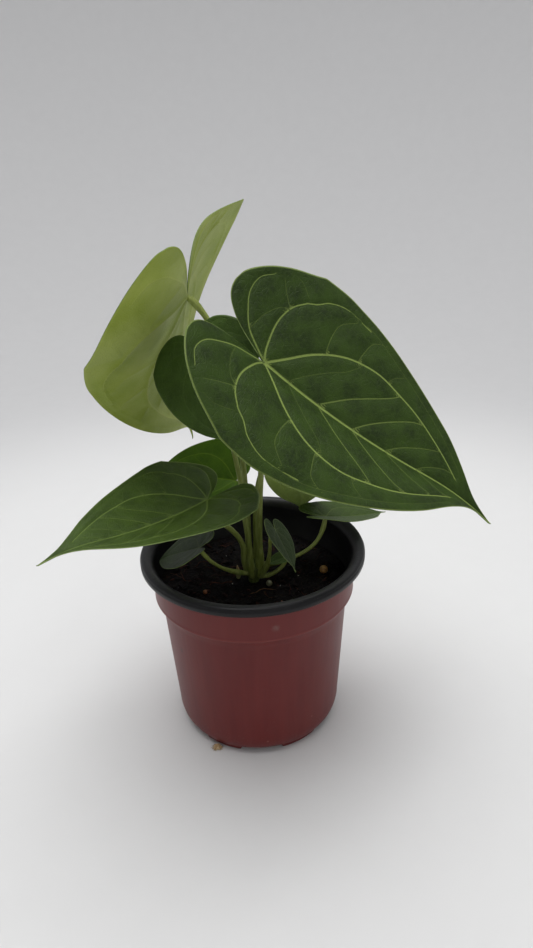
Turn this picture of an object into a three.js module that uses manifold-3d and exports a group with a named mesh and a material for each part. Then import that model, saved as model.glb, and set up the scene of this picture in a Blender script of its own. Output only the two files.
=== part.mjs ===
// Potted anthurium: a nursery pot, its potting mix, and a small velvet-leaved plant.
// Millimetres, +Z up. The origin is on the ground under the middle of the pot,
// and the plant's show side faces -Y.

import * as THREE from 'three';
import { mergeVertices } from 'three/addons/utils/BufferGeometryUtils.js';
import Module from 'manifold-3d';

const wasm = await Module();
wasm.setup();

// ---- driving dimensions ----

const GAP = 0.3; // clearance between pieces that touch

const pot = {
  height: 91.5,
  rimRadius: 52.5,
  rimWidth: 4.2,
  rimSkirt: 4,
  rimEdge: 0.8, // slope round the rim's outer top edge
  rimRoot: 2, // height of the slope from the rim's underside to the inner wall
  collarRadius: 47.2, // outside of the straight band under the rim
  collarBottom: 71.3,
  shoulder: 2, // height of the ledge between band and body
  bodyTopRadius: 44.3,
  baseRadius: 40.4,
  baseCorner: 8, // height of the rounded bottom edge
  baseInset: 3, // how far the bottom edge comes in
  wall: 1.2,
  footHeight: 3,
  footWidth: 4,
  footAngle: 23,
  footCount: 6,
  footInset: 0.2, // from the edge of the pot's underside
  padRadius: 8,
  drainRadius: 3.2,
  drainCircle: 24,
};

const mix = { depthUnderRim: 19.5, relief: 1.4, calmFrom: 8, calmTo: 14, edgeBand: 6 };
const crown = { radius: 5.4, footRadius: 3.6, height: 14 };
const shoot = { length: 7, radius: 1.3, bearing: 166, away: 1 };
const prills = [
  { at: [34, 3], radius: 2.1 },
  { at: [7, -7.5], radius: 1.6 },
  { at: [-23, -12], radius: 1.1 },
  { at: [12, -21], radius: 0.9 },
];
const rootTuft = { length: 9, width: 4, height: 3.6, bearing: 238 };
const bladeThickness = 0.6;
const turnSteps = 48; // sides of the pot and of what fits in it, so their flats line up

// ---- helpers ----

const material = (color, roughness) => new THREE.MeshStandardMaterial({ color, roughness, metalness: 0 });
const radians = THREE.MathUtils.degToRad;

const materials = {
  pot: material(0x5d2a28, 0.5),
  mix: material(0x1c1512, 0.95),
  stalk: material(0x646e28, 0.5),
  blade: material(0x324b23, 0.5),
  paleBlade: material(0x6e7d41, 0.55),
  prill: material(0xb48a52, 0.5),
  root: material(0xb9a27c, 0.9),
};

const plant = new THREE.Group();

function addMesh(name, geometry, surface) {
  const mesh = new THREE.Mesh(geometry, surface);
  mesh.name = name;
  plant.add(mesh);
  return mesh;
}

function toSolid(geometry) {
  const bare = geometry.clone();
  bare.deleteAttribute('normal');
  bare.deleteAttribute('uv');
  const merged = mergeVertices(bare, 1e-4);
  return new wasm.Manifold(new wasm.Mesh({
    numProp: 3,
    vertProperties: new Float32Array(merged.attributes.position.array),
    triVerts: new Uint32Array(merged.index.array),
  }));
}

function toGeometry(solid) {
  const mesh = solid.getMesh();
  const geometry = new THREE.BufferGeometry();
  geometry.setAttribute('position', new THREE.BufferAttribute(mesh.vertProperties, 3));
  geometry.setIndex(new THREE.BufferAttribute(mesh.triVerts, 1));
  return geometry;
}

// A LatheGeometry turns about +Y, so its result is stood up along +Z.
function lathe(profile, segments) {
  const points = profile.map(([radius, z]) => new THREE.Vector2(radius, z));
  return new THREE.LatheGeometry(points, segments).rotateX(Math.PI / 2);
}

// ---- pot ----

const collarTop = pot.height - pot.wall;
const bodyTop = pot.collarBottom - pot.shoulder;
const floorTop = pot.footHeight + pot.wall;

// Outside radius of the pot's wall at a height, under the rim.
function wallRadius(z) {
  const baseTop = pot.footHeight + pot.baseCorner;
  if (z >= pot.collarBottom) return pot.collarRadius;
  if (z >= bodyTop) {
    return THREE.MathUtils.mapLinear(z, bodyTop, pot.collarBottom, pot.bodyTopRadius, pot.collarRadius);
  }
  if (z >= baseTop) {
    return THREE.MathUtils.mapLinear(z, baseTop, bodyTop, pot.baseRadius, pot.bodyTopRadius);
  }
  const drop = (baseTop - Math.max(z, pot.footHeight)) / pot.baseCorner;
  return pot.baseRadius - pot.baseInset * (1 - Math.sqrt(1 - drop * drop));
}

const wallHeights = [
  pot.footHeight,
  ...[0.12, 0.35, 0.65, 1].map((share) => pot.footHeight + share * pot.baseCorner),
  bodyTop,
  pot.collarBottom,
];

function potProfile() {
  const outside = wallHeights.map((z) => [wallRadius(z), z]);
  const rim = [
    [pot.collarRadius, collarTop],
    [pot.rimRadius - pot.wall, collarTop],
    [pot.rimRadius - pot.wall, pot.height - pot.rimSkirt],
    [pot.rimRadius, pot.height - pot.rimSkirt],
    [pot.rimRadius, pot.height - pot.rimEdge],
    [pot.rimRadius - pot.rimEdge, pot.height],
    [pot.rimRadius - pot.rimWidth, pot.height],
    [pot.collarRadius - pot.wall, collarTop - pot.rimRoot],
  ];
  const inside = wallHeights
    .filter((z) => z > floorTop)
    .reverse()
    .map((z) => [wallRadius(z) - pot.wall, z]);
  const floorEdge = [wallRadius(floorTop) - pot.wall, floorTop];
  return [[0, pot.footHeight], ...outside, ...rim, ...inside, floorEdge, [0, floorTop]];
}

// One foot: a short piece of a ring, sunk into the moulding that it grows from.
function footGeometry(angle) {
  const outer = wallRadius(pot.footHeight) - pot.footInset;
  const half = radians(pot.footAngle / 2);
  const outline = new THREE.Shape();
  outline.absarc(0, 0, outer, angle - half, angle + half, false);
  outline.absarc(0, 0, outer - pot.footWidth, angle + half, angle - half, true);
  return new THREE.ExtrudeGeometry(outline, {
    depth: pot.footHeight + pot.wall / 2, bevelEnabled: false, curveSegments: 4,
  });
}

function potGeometry() {
  let solid = toSolid(lathe(potProfile(), turnSteps));
  const padHeight = pot.footHeight + pot.wall / 2;
  const pad = lathe([[0, 0], [pot.padRadius, 0], [pot.padRadius, padHeight], [0, padHeight]], 24);
  solid = solid.add(toSolid(pad));
  const step = 2 * Math.PI / pot.footCount;
  for (let index = 0; index < pot.footCount; index += 1) {
    solid = solid.add(toSolid(footGeometry(index * step)));
    const turn = (index + 0.5) * step;
    const drain = new THREE.CylinderGeometry(pot.drainRadius, pot.drainRadius, pot.wall * 3, 16);
    drain.rotateX(Math.PI / 2);
    drain.translate(
      pot.drainCircle * Math.cos(turn), pot.drainCircle * Math.sin(turn), pot.footHeight + pot.wall / 2,
    );
    solid = solid.subtract(toSolid(drain));
  }
  return toGeometry(solid);
}

addMesh('nursery_pot', potGeometry(), materials.pot);

// ---- potting mix ----

const mixTop = pot.height - mix.depthUnderRim;

// Height of the mix's top: lumpy, but level round the crown and at the pot's wall.
function mixHeight(x, y) {
  const radius = Math.hypot(x, y);
  const edge = wallRadius(mixTop) - pot.wall;
  const calm = THREE.MathUtils.smoothstep(radius, crown.radius + mix.calmFrom, crown.radius + mix.calmTo)
    * (1 - THREE.MathUtils.smoothstep(radius, edge - mix.edgeBand, edge));
  const lumps = Math.sin(x * 0.31 + 1) * Math.cos(y * 0.27) + 0.6 * Math.sin(x * 0.17 - y * 0.41);
  return mixTop + mix.relief * 0.6 * calm * lumps;
}

function mixGeometry() {
  const heights = wallHeights.filter((z) => z > floorTop + 1 && z < mixTop);
  const side = [floorTop + GAP, ...heights, mixTop].map((z) => [wallRadius(z) - pot.wall - 2 * GAP, z]);
  const edge = side[side.length - 1][0];
  const rings = [0.86, 0.7, 0.55, 0.42, 0.3, 0.15].map((share) => [edge * share, mixTop]);
  const geometry = lathe([[0, floorTop + GAP], ...side, ...rings, [0, mixTop]], turnSteps);
  const position = geometry.attributes.position;
  for (let index = 0; index < position.count; index += 1) {
    const inner = Math.hypot(position.getX(index), position.getY(index)) < edge - 1;
    if (inner && position.getZ(index) > mixTop - 0.01) {
      position.setZ(index, mixHeight(position.getX(index), position.getY(index)));
    }
  }
  return geometry;
}

addMesh('potting_mix', mixGeometry(), materials.mix);

// ---- crown ----

// The crown widens upward, where the sheaths of the stalks stand together.
function crownRadius(share) {
  return THREE.MathUtils.lerp(crown.footRadius, crown.radius, THREE.MathUtils.smoothstep(share, 0, 0.8));
}

function crownGeometry() {
  const low = mixTop + GAP;
  const side = [0, 0.25, 0.5, 0.8, 1].map((share) => [crownRadius(share), low + crown.height * share]);
  return lathe([[0, low], ...side, [0, low + crown.height]], 20);
}

addMesh('crown', crownGeometry(), materials.stalk);

// ---- leaves ----

// Half of a blade's outline, from the tip round the lobe to the stalk. The first number is
// a share of the blade's length, or of the lobe's length when negative, and the second is
// a share of the half width.
const heartOutline = [
  [1, 0], [0.93, 0.035], [0.87, 0.1], [0.8, 0.24], [0.7, 0.46], [0.58, 0.65], [0.45, 0.8],
  [0.32, 0.91], [0.2, 0.975], [0.08, 1], [-0.15, 0.93], [-0.53, 0.8], [-0.83, 0.63],
  [-1, 0.43], [-0.94, 0.25], [-0.68, 0.13], [-0.3, 0.05], [0, 0],
];
const youngOutline = [
  [1, 0], [0.95, 0.1], [0.88, 0.24], [0.78, 0.44], [0.65, 0.66], [0.5, 0.84], [0.35, 0.95],
  [0.2, 1], [0.06, 0.98], [-0.3, 0.86], [-0.75, 0.62], [-1, 0.36], [-0.85, 0.17],
  [-0.45, 0.07], [0, 0],
];

// Each leaf: where its stalk meets the blade, with the height measured from the pot's top, then
// how the blade is held. heading is the compass turn of the midrib from +X, pitch its rise, roll
// the tilt of the blade about it. droop, sweep and twist are the changes of those three from the
// stalk to the tip. curl is an extra droop that starts at curlFrom along the blade. fold and cup
// are the rise and the curve of the right and left halves, and back lifts each lobe. half is the
// width of a half and lobe its length behind the stalk, given once when the two halves match. A
// stalk stands on top of the crown at its place in stalk.top, or leaves the crown's side at a
// bearing, a height and a rise. climb and reach are how far it holds its first and last
// directions. It comes up square to the blade unless arrive gives another direction.
const leaves = [
  {
    at: [8, -20, 92.5], heading: -6, pitch: -43, roll: -29, droop: -19, sweep: -4, twist: 5,
    curl: 19, length: 116, half: 50, lobe: 31, fold: [20, 20], cup: [-30, -3], back: [-9, -9],
    stalk: { top: [3.4, -1.2], climb: 54, reach: 25, radius: 1.3, arrive: [-0.15, -0.4, 0.9] },
  },
  {
    at: [-23, 13, 113.5], heading: 105, pitch: -38, roll: 66, droop: 26, sweep: -19, twist: 33,
    curl: 2, length: 118, half: [59.5, 57], lobe: [24, 43.5], fold: [8.5, 6.5], cup: [-46, 59],
    back: [-22, -20], curlFrom: 0.35, pale: true,
    stalk: { top: [-1.6, 3], climb: 70, reach: 22, radius: 1.3, arrive: [-0.7, -0.3, 0.62] },
  },
  {
    at: [-18, -2, 94], heading: -63, pitch: -51, roll: -42, droop: -12, sweep: 6, twist: 8,
    curl: 10, length: 49, half: 24, lobe: 10.5, fold: [2, 6], cup: [-14, -6], back: [0, 0],
    stalk: { top: [-1.4, -3], climb: 40, reach: 18, radius: 1.1, arrive: [-0.3, -0.6, 0.74] },
  },
  {
    at: [-19, -10, 29.5], heading: 227, pitch: -3, roll: 2, droop: -12, sweep: -21, twist: -2,
    curl: 24, length: 79, half: 31, lobe: 16, fold: [16, 16], cup: [7, -11], back: [-17, -17],
    stalk: { top: [-4, 0.4], climb: 14, reach: 12, radius: 1.3 },
  },
  {
    at: [-7, 24, 22.5], heading: 160, pitch: 1, roll: 39, droop: 7, sweep: 0, twist: 2,
    curl: 8, length: 48, half: 21, lobe: 8, fold: [16, 16], cup: [2, 3], back: [-11, 3],
    stalk: { bearing: 100, height: 8, rise: 50, climb: 12, reach: 10, radius: 1 },
  },
  {
    at: [24, 14, 32.5], heading: 85, pitch: -63, roll: 6, droop: -9, sweep: -2, twist: 3,
    curl: 3, length: 39, half: 17, lobe: 10, fold: [5, 5], cup: [-7, -9], back: [0, 0],
    pale: true, stalk: { top: [1.4, 3.2], climb: 58, reach: 16, radius: 1, arrive: [0.8, 0.5, -0.3] },
  },
  {
    at: [36, 12, 6.5], heading: 13, pitch: -12, roll: 8, droop: -7, sweep: 18, twist: -6,
    curl: 5, length: 35, half: 15.5, lobe: 12, fold: [13, 13], cup: [-6, -3], back: [0, 0],
    stalk: { bearing: 10, height: 7, rise: 4, climb: 22, reach: 14, radius: 1 },
  },
  {
    at: [10.5, -14, 14.5], heading: -63, pitch: -35, roll: 29, droop: 6, sweep: 2, twist: 0,
    curl: 6, length: 21, half: 8, lobe: 6, fold: [8, 8], cup: [-7, -8], back: [0, 0],
    stalk: { bearing: -35, height: 6, rise: 60, climb: 12, reach: 6, radius: 0.8 },
  },
  {
    at: [-24, -14, 7.5], heading: 146, pitch: -26, roll: 15, droop: 3, sweep: 3, twist: 3,
    curl: 9, length: 27, half: 14, lobe: 7, fold: [11, 11], cup: [-8, -8], back: [-4, -4],
    young: true, stalk: { bearing: 200, height: 5, rise: 20, climb: 14, reach: 6, radius: 0.8 },
  },
  {
    at: [15.5, -0.5, -7.5], heading: 188, pitch: -14, roll: 8, droop: 6, sweep: 0, twist: 0,
    curl: 6, length: 9.5, half: 4.5, lobe: 2.5, fold: [12, 12], cup: [-6, -6], back: [0, 0],
    young: true, stalk: { bearing: -14, height: 2, rise: 10, climb: 6, reach: 4, radius: 0.7 },
  },
];

const midribSteps = 48;
const tipShare = 0.65; // where the tip's curl starts on most blades
const bladePlace = ({ at: [x, y, z] }) => new THREE.Vector3(x, y, pot.height + z);
const forSide = (value, side) => (Array.isArray(value) ? value[side > 0 ? 0 : 1] : value);

// The midrib and the two directions across it, in the blade's own frame: the stalk at the
// origin and the heading along +X.
function midribStation(leaf, x, side) {
  const share = x / leaf.length;
  const bend = THREE.MathUtils.clamp(share, 0, 1);
  const start = leaf.curlFrom ?? tipShare;
  const tipCurl = THREE.MathUtils.smoothstep(share, start, 1);
  const rise = x < 0
    ? radians(leaf.pitch + forSide(leaf.back, side) * (-x / forSide(leaf.lobe, side)))
    : radians(leaf.pitch - leaf.droop * bend - leaf.curl * tipCurl);
  const turn = radians(leaf.sweep * bend);
  const roll = radians(leaf.roll + leaf.twist * bend);
  const along = new THREE.Vector3(
    Math.cos(rise) * Math.cos(turn), Math.cos(rise) * Math.sin(turn), Math.sin(rise),
  );
  const level = new THREE.Vector3(Math.sin(turn), -Math.cos(turn), 0);
  const upright = new THREE.Vector3().crossVectors(level, along);
  const across = level.clone().multiplyScalar(Math.cos(roll)).addScaledVector(upright, Math.sin(roll));
  const face = upright.multiplyScalar(Math.cos(roll)).addScaledVector(level, -Math.sin(roll));
  return { along, across, face };
}

function midribPoint(leaf, x, side) {
  const point = new THREE.Vector3();
  const step = x / midribSteps;
  for (let index = 0; index < midribSteps; index += 1) {
    point.addScaledVector(midribStation(leaf, (index + 0.5) * step, side).along, step);
  }
  return point;
}

// The point of the blade's middle sheet at x along the midrib and y across it.
function bladePoint(leaf, x, y, side) {
  const { across, face } = midribStation(leaf, x, side);
  const fold = radians(forSide(leaf.fold, side));
  const cup = radians(forSide(leaf.cup, side)) / forSide(leaf.half, side);
  const angle = fold + cup * y;
  return midribPoint(leaf, x, side)
    .addScaledVector(across, side * (Math.sin(angle) - Math.sin(fold)) / cup)
    .addScaledVector(face, (Math.cos(fold) - Math.cos(angle)) / cup);
}

// A closed blade: a sheet of points fanned out from the midrib to the margin on each side,
// given its thickness both ways along the sheet's normals, and walled round its margin.
function bladeGeometry(leaf, marginSteps, fanSteps) {
  const outline = leaf.young ? youngOutline : heartOutline;
  const margin = new THREE.SplineCurve(outline.map(([x, y]) => new THREE.Vector2(x, y)))
    .getPoints(marginSteps);
  const sheet = [];
  const found = new Map();
  const vertex = (x, y, side) => {
    const key = `${x.toFixed(3)},${(y * side).toFixed(3)}`;
    if (!found.has(key)) {
      found.set(key, sheet.length);
      sheet.push(bladePoint(leaf, x, y, side));
    }
    return found.get(key);
  };
  const triangles = [];
  const face = (a, b, c, side) => {
    if (a === b || b === c || c === a) return;
    triangles.push(side > 0 ? [a, b, c] : [a, c, b]);
  };
  for (const side of [1, -1]) {
    const grid = margin.map((point) => {
      const x = point.x * (point.x > 0 ? leaf.length : forSide(leaf.lobe, side));
      const axis = Math.max(x, 0);
      return Array.from({ length: fanSteps + 1 }, (_, row) => {
        const out = row / fanSteps;
        const y = Math.abs(point.y) * forSide(leaf.half, side) * out;
        return vertex(THREE.MathUtils.lerp(axis, x, out), y, side);
      });
    });
    for (let column = 0; column < marginSteps; column += 1) {
      for (let row = 0; row < fanSteps; row += 1) {
        const [a, b] = [grid[column][row], grid[column][row + 1]];
        const [d, c] = [grid[column + 1][row], grid[column + 1][row + 1]];
        face(a, b, c, side);
        face(a, c, d, side);
      }
    }
  }
  return thicken(sheet, triangles, bladeThickness / 2);
}

function thicken(sheet, triangles, half) {
  const normals = sheet.map(() => new THREE.Vector3());
  const edges = new Map();
  for (const [a, b, c] of triangles) {
    const normal = new THREE.Vector3().subVectors(sheet[b], sheet[a])
      .cross(new THREE.Vector3().subVectors(sheet[c], sheet[a]));
    for (const corner of [a, b, c]) normals[corner].add(normal);
    for (const [from, to] of [[a, b], [b, c], [c, a]]) {
      if (!edges.delete(`${to},${from}`)) edges.set(`${from},${to}`, [from, to]);
    }
  }
  const positions = [];
  for (const way of [1, -1]) {
    sheet.forEach((point, index) => {
      positions.push(...point.clone().addScaledVector(normals[index].clone().normalize(), way * half));
    });
  }
  const under = sheet.length;
  const indices = triangles.flatMap(([a, b, c]) => [a, b, c, under + a, under + c, under + b]);
  for (const [from, to] of edges.values()) {
    indices.push(to, from, under + from, to, under + from, under + to);
  }
  const geometry = new THREE.BufferGeometry();
  geometry.setAttribute('position', new THREE.Float32BufferAttribute(positions, 3));
  geometry.setIndex(indices);
  return geometry;
}

// Where a stalk starts and the direction it starts in, clear of the crown.
function stalkStart({ top, bearing, height, rise, radius }) {
  const base = mixTop + GAP;
  const up = new THREE.Vector3(0, 0, 1);
  if (top) return [new THREE.Vector3(...top, base + crown.height + GAP), up];
  const turn = radians(bearing);
  const out = new THREE.Vector3(Math.cos(turn), Math.sin(turn), 0);
  const away = crownRadius(height / crown.height) + GAP + radius * Math.sin(radians(rise)) + 0.2;
  const start = out.clone().multiplyScalar(away).setZ(base + height);
  return [start, out.multiplyScalar(Math.cos(radians(rise))).addScaledVector(up, Math.sin(radians(rise)))];
}

// A stalk leaves the crown and ends just under its blade.
function stalkGeometry(leaf) {
  const { climb, reach, radius, arrive } = leaf.stalk;
  const [start, first] = stalkStart(leaf.stalk);
  const up = new THREE.Vector3(0, 0, 1);
  const face = midribStation(leaf, 0, 1).face.applyAxisAngle(up, radians(leaf.heading));
  const last = arrive ? new THREE.Vector3(...arrive).normalize() : face;
  const lean = Math.sqrt(Math.max(1 - last.dot(face) ** 2, 0));
  const end = bladePlace(leaf)
    .addScaledVector(face, -bladeThickness / 2 - 2 * GAP - 1.5 * radius * lean);
  const route = new THREE.CubicBezierCurve3(
    start,
    start.clone().addScaledVector(first, climb),
    end.clone().addScaledVector(last, -reach),
    end,
  );
  const section = new THREE.Shape();
  section.absarc(0, 0, radius, 0, 2 * Math.PI, false);
  return new THREE.ExtrudeGeometry(section, {
    steps: 14, curveSegments: 4, bevelEnabled: false, extrudePath: route,
  });
}

leaves.forEach((leaf, index) => {
  const name = `leaf_${String(index + 1).padStart(2, '0')}`;
  const small = leaf.length < 40;
  const blade = addMesh(
    `${name}_blade`, bladeGeometry(leaf, small ? 17 : 24, small ? 2 : 3),
    leaf.pale ? materials.paleBlade : materials.blade,
  );
  blade.position.copy(bladePlace(leaf));
  blade.rotation.z = radians(leaf.heading);
  addMesh(`${name}_stalk`, stalkGeometry(leaf), materials.stalk);
});

// ---- small things on the mix and at the pot's foot ----

// A pointed shoot leans on the side of the crown.
function shootGeometry() {
  const { length, radius } = shoot;
  const profile = [
    [0, 0], [radius * 0.7, 0], [radius, length * 0.3], [radius * 0.6, length * 0.75], [0, length],
  ];
  return lathe(profile, 10);
}

const newShoot = addMesh('new_shoot', shootGeometry(), materials.stalk);
newShoot.position.set(
  (crown.radius + shoot.radius + shoot.away) * Math.cos(radians(shoot.bearing)),
  (crown.radius + shoot.radius + shoot.away) * Math.sin(radians(shoot.bearing)),
  mixTop + 2 * GAP,
);

// Prills lie on the mix, so each one's height comes from the mix under it.
prills.forEach(({ at: [x, y], radius }, index) => {
  const ball = new THREE.IcosahedronGeometry(radius, 1);
  const prill = addMesh(`fertiliser_prill_${index + 1}`, ball, materials.prill);
  prill.position.set(x, y, mixHeight(x, y) + radius + GAP + mix.relief * 0.4);
});

// The tuft of root fibre grows out of a drain and lies on the ground against a foot.
function rootTuftGeometry() {
  const geometry = new THREE.IcosahedronGeometry(1, 1);
  geometry.scale(rootTuft.length / 2, rootTuft.width / 2, rootTuft.height / 2);
  return geometry;
}

const tuft = addMesh('root_tuft', rootTuftGeometry(), materials.root);
const tuftTurn = radians(rootTuft.bearing);
const tuftRadius = wallRadius(pot.footHeight) + rootTuft.width / 2 + 2 * GAP;
tuft.position.set(tuftRadius * Math.cos(tuftTurn), tuftRadius * Math.sin(tuftTurn), rootTuft.height / 2);
tuft.rotation.z = tuftTurn + Math.PI / 2;

export default plant;
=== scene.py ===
# %% [markdown]
# # A potted anthurium
# A young velvet-leaved anthurium stands in a small nursery pot. This notebook grows it piece by
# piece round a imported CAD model: the pot, the potting mix, the crown, ten blades on their
# stalks, and the small things that lie about. The CAD model is loaded first and never moved.

# %% Load the frame
import math
import random

import bmesh
import bpy
import numpy as np
from mathutils import Matrix, Vector, noise


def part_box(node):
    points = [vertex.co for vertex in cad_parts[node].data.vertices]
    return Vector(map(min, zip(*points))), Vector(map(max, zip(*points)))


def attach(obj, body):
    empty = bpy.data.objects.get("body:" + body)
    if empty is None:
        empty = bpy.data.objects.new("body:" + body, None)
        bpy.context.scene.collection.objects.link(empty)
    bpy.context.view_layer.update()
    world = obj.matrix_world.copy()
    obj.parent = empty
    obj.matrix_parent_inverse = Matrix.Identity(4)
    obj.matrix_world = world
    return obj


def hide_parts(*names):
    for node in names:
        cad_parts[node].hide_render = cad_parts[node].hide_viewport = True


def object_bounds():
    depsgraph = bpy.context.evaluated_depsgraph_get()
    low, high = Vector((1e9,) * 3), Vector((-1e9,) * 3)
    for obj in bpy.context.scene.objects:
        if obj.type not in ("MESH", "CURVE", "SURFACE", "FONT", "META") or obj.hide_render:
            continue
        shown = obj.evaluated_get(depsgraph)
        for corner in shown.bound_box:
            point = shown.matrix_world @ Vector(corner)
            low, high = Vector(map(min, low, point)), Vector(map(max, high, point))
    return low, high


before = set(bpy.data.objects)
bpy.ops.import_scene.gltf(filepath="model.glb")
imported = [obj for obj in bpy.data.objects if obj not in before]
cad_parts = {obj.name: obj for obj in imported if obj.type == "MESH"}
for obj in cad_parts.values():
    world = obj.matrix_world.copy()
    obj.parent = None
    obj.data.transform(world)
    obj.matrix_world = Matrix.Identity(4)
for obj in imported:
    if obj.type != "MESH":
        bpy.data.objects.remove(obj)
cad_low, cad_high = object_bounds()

MM = 0.001
print("CAD box in mm:", [round(side / MM, 1) for side in cad_high - cad_low])

# %% [markdown]
# ## Sizes
# The pot's height and rim come straight from its CAD node, so they can't drift from it. The
# rest of the pot is written out in millimetres, as a maker's drawing would give it.

# %% The pot's drawing
pot_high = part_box("nursery_pot")[1]
POT_HEIGHT = pot_high.z / MM
RIM_RADIUS = pot_high.x / MM
COLLAR_RADIUS = 47.2
COLLAR_BOTTOM = 71.3
BODY_TOP = 69.3
BODY_TOP_RADIUS = 44.3
BASE_RADIUS = 40.4
BASE_CORNER = 8
BASE_INSET = 3
WALL = 1.2
FOOT_HEIGHT = 3
MIX_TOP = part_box("crown")[0].z / MM - 0.3
print("pot", round(POT_HEIGHT, 1), "mm tall, rim radius", round(RIM_RADIUS, 1), "mix at", round(MIX_TOP, 1))


def smooth(share):
    """Eases a share, or an array of them, in and out between 0 and 1."""
    share = np.clip(share, 0, 1)
    return share * share * (3 - 2 * share)


def wall_radius(z):
    """Outside radius of the pot's wall at a height, under the rim, in mm."""
    base_top = FOOT_HEIGHT + BASE_CORNER
    if z >= COLLAR_BOTTOM:
        return COLLAR_RADIUS
    if z >= BODY_TOP:
        return float(np.interp(z, [BODY_TOP, COLLAR_BOTTOM], [BODY_TOP_RADIUS, COLLAR_RADIUS]))
    if z >= base_top:
        return float(np.interp(z, [base_top, BODY_TOP], [BASE_RADIUS, BODY_TOP_RADIUS]))
    drop = (base_top - max(z, FOOT_HEIGHT)) / BASE_CORNER
    return BASE_RADIUS - BASE_INSET * (1 - math.sqrt(1 - drop * drop))


# %% [markdown]
# ## A short hand for finishes
# Node trees are quicker to read as sums than as wires. A `Wire` is one output of a node, and
# adding, taking away or multiplying wires adds Math nodes. A `Finish` holds one material and
# its Principled shader, and its `node` method makes any other node: type, settings, inputs.
# `layers` lays colours over each other through masks, as glazes are, and `dress` links the
# result, the roughness and the relief to the shader.

# %% Wires and finishes
class Wire:
    """One output of a node. Arithmetic on it adds Math nodes to its finish."""

    def __init__(self, finish, socket):
        self.finish = finish
        self.socket = socket

    def sum(self, operation, *values):
        inputs = dict(enumerate(values))
        return self.finish.node("ShaderNodeMath", {"operation": operation}, inputs)

    def __add__(self, other):
        return self.sum("ADD", self, other)

    def __mul__(self, other):
        return self.sum("MULTIPLY", self, other)

    def __sub__(self, other):
        return self.sum("SUBTRACT", self, other)

    def __rsub__(self, other):
        return self.sum("SUBTRACT", other, self)

    def __abs__(self):
        return self.sum("ABSOLUTE", self)

    __radd__ = __add__
    __rmul__ = __mul__


class Finish:
    """A material built round one Principled shader."""

    def __init__(self, name, constants):
        self.material = bpy.data.materials.new(name)
        self.material.use_nodes = True
        self.tree = self.material.node_tree
        self.shader = self.tree.nodes["Principled BSDF"]
        for socket, value in constants.items():
            self.shader.inputs[socket].default_value = value

    def node(self, kind, settings, inputs, output=0):
        made = self.tree.nodes.new(kind)
        stops = settings.pop("stops", None)
        for key, value in settings.items():
            setattr(made, key, value)
        if stops:
            ramp = made.color_ramp.elements
            while len(ramp) < len(stops):
                ramp.new(0.5)
            for element, (position, colour) in zip(ramp, stops):
                element.position = position
                element.color = colour
        for place, value in inputs.items():
            self.put(made.inputs[place], value)
        return Wire(self, made.outputs[output])

    def put(self, socket, value):
        if isinstance(value, Wire):
            self.tree.links.new(value.socket, socket)
        else:
            socket.default_value = value

    def places(self):
        """Object coordinates, in metres."""
        return self.node("ShaderNodeTexCoord", {}, {}, "Object")

    def attribute(self, name):
        return self.node("ShaderNodeAttribute", {"attribute_name": name}, {}, "Vector")

    def part(self, vector, axis):
        return self.node("ShaderNodeSeparateXYZ", {}, {0: vector}, axis)

    def stretch(self, vector, scale):
        return self.node("ShaderNodeMapping", {}, {"Vector": vector, "Scale": scale})

    def distance(self, vector, point):
        return self.node("ShaderNodeVectorMath", {"operation": "DISTANCE"}, {0: vector, 1: point}, "Value")

    def noise(self, where, scale, detail=2.0):
        return self.node("ShaderNodeTexNoise", {}, {"Vector": where, "Scale": scale, "Detail": detail})

    def cells(self, where, scale, feature="F1"):
        return self.node("ShaderNodeTexVoronoi", {"feature": feature}, {"Vector": where, "Scale": scale})

    def fade(self, value, low, high):
        """A smooth mask: 0 at low and 1 at high."""
        settings = {"interpolation_type": "SMOOTHSTEP"}
        inputs = {"Value": value, "From Min": low, "From Max": high}
        return self.node("ShaderNodeMapRange", settings, inputs)

    def layers(self, tone, *coats):
        """A colour with other colours laid over it in turn, each through its own mask."""
        for mask, colour in coats:
            tone = self.node("ShaderNodeMix", {"data_type": "RGBA"}, {0: mask, 6: tone, 7: colour}, 2)
        return tone

    def ramp(self, value, stops):
        return self.node("ShaderNodeValToRGB", {"stops": stops}, {0: value})

    def dress(self, tone, roughness, relief, depth):
        """Links what varies over the surface. The relief's depth is in metres."""
        bump = self.node("ShaderNodeBump", {}, {"Strength": 1.0, "Distance": depth, "Height": relief})
        for name, value in (("Base Color", tone), ("Roughness", roughness), ("Normal", bump)):
            self.put(self.shader.inputs[name], value)
        return self


def tint(red, green, blue):
    """A screen colour, 0 to 255, as the linear light that shaders use."""
    shares = [channel / 255 for channel in (red, green, blue)]
    linear = [s / 12.92 if s <= 0.04045 else ((s + 0.055) / 1.055) ** 2.4 for s in shares]
    return (*linear, 1.0)


# %% [markdown]
# ## Handing a piece over
# Every piece ends the same way: its mesh goes to an object at the origin with its finishes, it
# rides on the one body, and where it stands for a CAD node, that node is hidden.

# %% Finish a piece
def into_scene(name, data):
    made = bpy.data.objects.new(name, data)
    bpy.context.scene.collection.objects.link(made)
    return made


def mesh_object(name, bm, finishes, rounded=True):
    mesh = bpy.data.meshes.new(name)
    bm.to_mesh(mesh)
    bm.free()
    for finish in finishes:
        mesh.materials.append(finish.material)
    mesh.polygons.foreach_set("use_smooth", [rounded] * len(mesh.polygons))
    print(name, len(mesh.polygons), "faces")
    return into_scene(name, mesh)


def hand_over(name, bm, finishes, nodes=(), rounded=True):
    piece = mesh_object(name, bm, finishes, rounded)
    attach(piece, "root")
    if nodes:
        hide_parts(*nodes)
    return piece


def chain(bm, points):
    """A line of vertices and the edges between them, from (radius, z) pairs in mm."""
    made = [bm.verts.new((radius * MM, 0, z * MM)) for radius, z in points]
    edges = [bm.edges.new(pair) for pair in zip(made, made[1:])]
    return made + edges


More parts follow.
